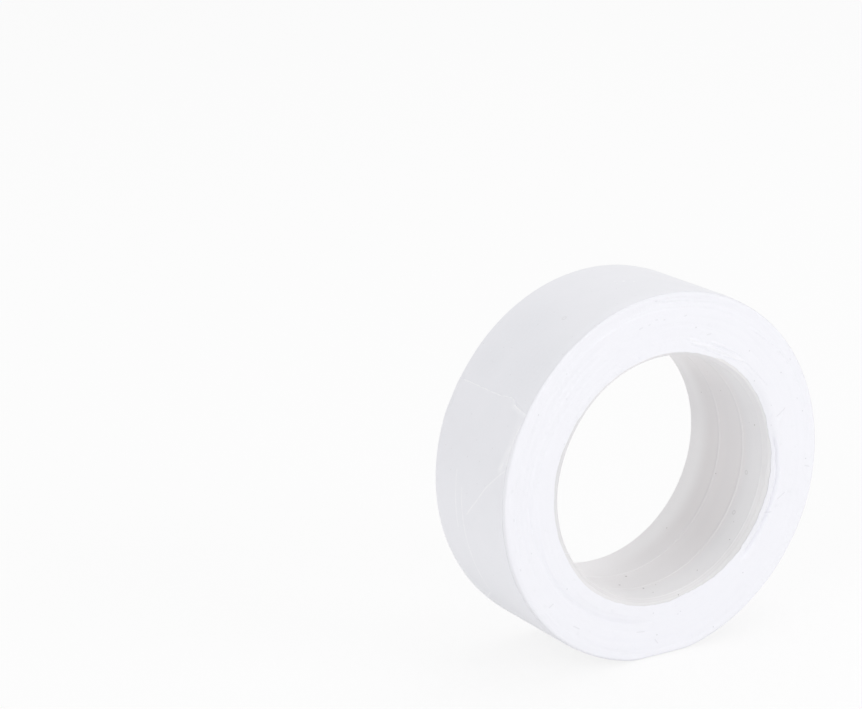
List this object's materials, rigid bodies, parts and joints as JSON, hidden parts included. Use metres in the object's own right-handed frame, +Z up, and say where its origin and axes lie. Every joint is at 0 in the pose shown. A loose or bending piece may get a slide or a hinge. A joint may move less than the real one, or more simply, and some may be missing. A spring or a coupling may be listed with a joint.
{
  "type": "thread seal tape roll",
  "caption": "Roll of thin white thread seal tape wound on an open plastic core ring, with a loose lead that unwinds from the rim.",
  "frame": {"origin": "on the bore's axis, at the middle of the tape's width", "axes": "+Y runs along the bore from the front face to the back face, +Z is up as the roll stands on its rim, +X is to the right seen from the front"},
  "size_m": [0.0359, 0.012, 0.0354],
  "materials": {
    "seal_tape": "matte white film",
    "core_plastic": "satin moulded plastic"
  },
  "bodies": {
    "roll": {"core": "core_plastic", "wound_tape": "seal_tape", "last_turn": "seal_tape"},
    "lead_1": {"lead_1": "seal_tape"},
    "lead_2": {"lead_2": "seal_tape"},
    "lead_3": {"lead_3": "seal_tape"},
    "lead_4": {"lead_4": "seal_tape"},
    "lead_5": {"lead_5": "seal_tape"},
    "lead_6": {"lead_6": "seal_tape"},
    "lead_7": {"lead_7": "seal_tape"},
    "lead_8": {"lead_8": "seal_tape"}
  },
  "joints": [
    {"name": "lead_bend_1", "type": "hinge", "parent": "roll", "child": "lead_1", "pos_m": [-0.00788, 0, -0.01615], "axis": [0, -1, 0], "range_deg": [0, 6], "stiffness_Nm_per_rad": 0.0001},
    {"name": "lead_bend_2", "type": "hinge", "parent": "lead_1", "child": "lead_2", "pos_m": [-0.01107, 0, -0.01417], "axis": [0, -1, 0], "range_deg": [0, 12], "stiffness_Nm_per_rad": 0.0001},
    {"name": "lead_bend_3", "type": "hinge", "parent": "lead_2", "child": "lead_3", "pos_m": [-0.01377, 0, -0.01156], "axis": [0, -1, 0], "range_deg": [0, 12], "stiffness_Nm_per_rad": 0.0001},
    {"name": "lead_bend_4", "type": "hinge", "parent": "lead_3", "child": "lead_4", "pos_m": [-0.01588, 0, -0.00844], "axis": [0, -1, 0], "range_deg": [0, 12], "stiffness_Nm_per_rad": 0.0001},
    {"name": "lead_bend_5", "type": "hinge", "parent": "lead_4", "child": "lead_5", "pos_m": [-0.01729, 0, -0.00496], "axis": [0, -1, 0], "range_deg": [0, 12], "stiffness_Nm_per_rad": 0.0001},
    {"name": "lead_bend_6", "type": "hinge", "parent": "lead_5", "child": "lead_6", "pos_m": [-0.01795, 0, -0.00125], "axis": [0, -1, 0], "range_deg": [0, 12], "stiffness_Nm_per_rad": 0.0001},
    {"name": "lead_bend_7", "type": "hinge", "parent": "lead_6", "child": "lead_7", "pos_m": [-0.01782, 0, 0.0025], "axis": [0, -1, 0], "range_deg": [0, 12], "stiffness_Nm_per_rad": 0.0001},
    {"name": "lead_bend_8", "type": "hinge", "parent": "lead_7", "child": "lead_8", "pos_m": [-0.01691, 0, 0.00616], "axis": [0, -1, 0], "range_deg": [0, 12], "stiffness_Nm_per_rad": 0.0001}
  ],
  "couplings": [
    {"joint": "lead_bend_2", "follows": "lead_bend_1", "ratio": 2},
    {"joint": "lead_bend_3", "follows": "lead_bend_1", "ratio": 2},
    {"joint": "lead_bend_4", "follows": "lead_bend_1", "ratio": 2},
    {"joint": "lead_bend_5", "follows": "lead_bend_1", "ratio": 2},
    {"joint": "lead_bend_6", "follows": "lead_bend_1", "ratio": 2},
    {"joint": "lead_bend_7", "follows": "lead_bend_1", "ratio": 2},
    {"joint": "lead_bend_8", "follows": "lead_bend_1", "ratio": 2}
  ]
}
